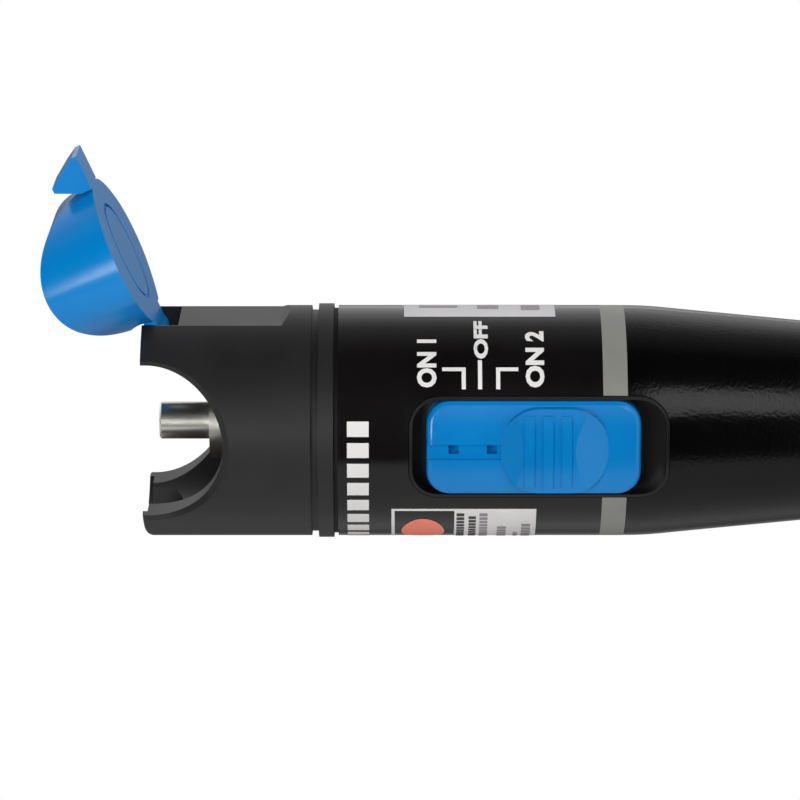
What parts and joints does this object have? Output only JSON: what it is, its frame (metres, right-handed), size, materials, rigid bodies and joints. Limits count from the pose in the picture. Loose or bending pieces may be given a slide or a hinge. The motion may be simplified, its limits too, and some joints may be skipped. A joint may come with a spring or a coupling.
{
  "type": "visual fault locator",
  "caption": "Pen-type visual fault locator with an open hinged dust cap over its light port, a thumb slide switch and a screw tail cap.",
  "frame": {"origin": "centre of the tail's end face, on the long axis", "axes": "+Z along the long axis to the light port, +X to the cap's hinge, -Y out of the slide switch"},
  "size_m": [0.0442, 0.0277, 0.1858],
  "materials": {
    "black_abs": "satin",
    "grained_abs": "fine grain",
    "bezel_abs": "semi-gloss",
    "blue_abs": "satin gloss",
    "black_film": "gloss",
    "silver_film": "satin",
    "nickel": "plated",
    "steel": "bright",
    "zirconia": "polished",
    "bare_aluminium": "turned",
    "lens_glass": "polished",
    "gilt": "plated",
    "sheet_brass": "rolled",
    "black_rubber": "matt",
    "board_green": "solder mask",
    "chip_black": "moulded",
    "white_nylon": "moulded",
    "inner_abs": "moulded",
    "cell_jacket": "plain jacket"
  },
  "bodies": {
    "pen": {"nose_collar": "black_abs", "main_housing": "grained_abs", "switch_bezel": "bezel_abs", "label_wrap": "black_film", "trim_band": "silver_film", "port_barrel": "nickel", "port_nut": "nickel", "front_contact": "nickel", "hinge_pin": "steel", "split_sleeve": "zirconia", "ferrule_stub": "zirconia", "laser_holder": "bare_aluminium", "coupling_lens": "lens_glass", "laser_diode": "gilt", "return_strip": "sheet_brass", "nose_seal": "black_rubber", "tail_seal": "black_rubber", "circuit_board": "board_green", "driver_components": "chip_black", "slide_switch_body": "chip_black", "contact_carrier": "inner_abs", "battery_front": "cell_jacket", "battery_rear": "cell_jacket"},
    "cap": {"front_cap": "blue_abs"},
    "switch": {"switch_slider": "blue_abs", "switch_lever": "white_nylon"},
    "tail_carriage": {"tail_contact": "nickel", "tail_spring": "steel"},
    "tail_cap": {"tail_cap": "black_abs"}
  },
  "joints": [
    {"name": "cap_hinge", "type": "hinge", "parent": "pen", "child": "cap", "pos_m": [0.01, 0, 0.17375], "axis": [0, 1, 0], "range_deg": [-155.2, 24.8]},
    {"name": "switch_slide", "type": "slide", "parent": "pen", "child": "switch", "axis": [0, 0, 1], "range_m": [-0.0012, 0.0012]},
    {"name": "tail_cap_travel", "type": "slide", "parent": "pen", "child": "tail_carriage", "axis": [0, 0, -1], "range_m": [0, 0.0075]},
    {"name": "tail_cap_turn", "type": "hinge", "parent": "tail_carriage", "child": "tail_cap", "pos_m": [0, 0, 0.007], "axis": [0, 0, -1], "range_deg": [0, 1800]}
  ],
  "couplings": [
    {"joint": "tail_cap_turn", "follows": "tail_cap_travel", "rad_per_m": 4188.8}
  ]
}
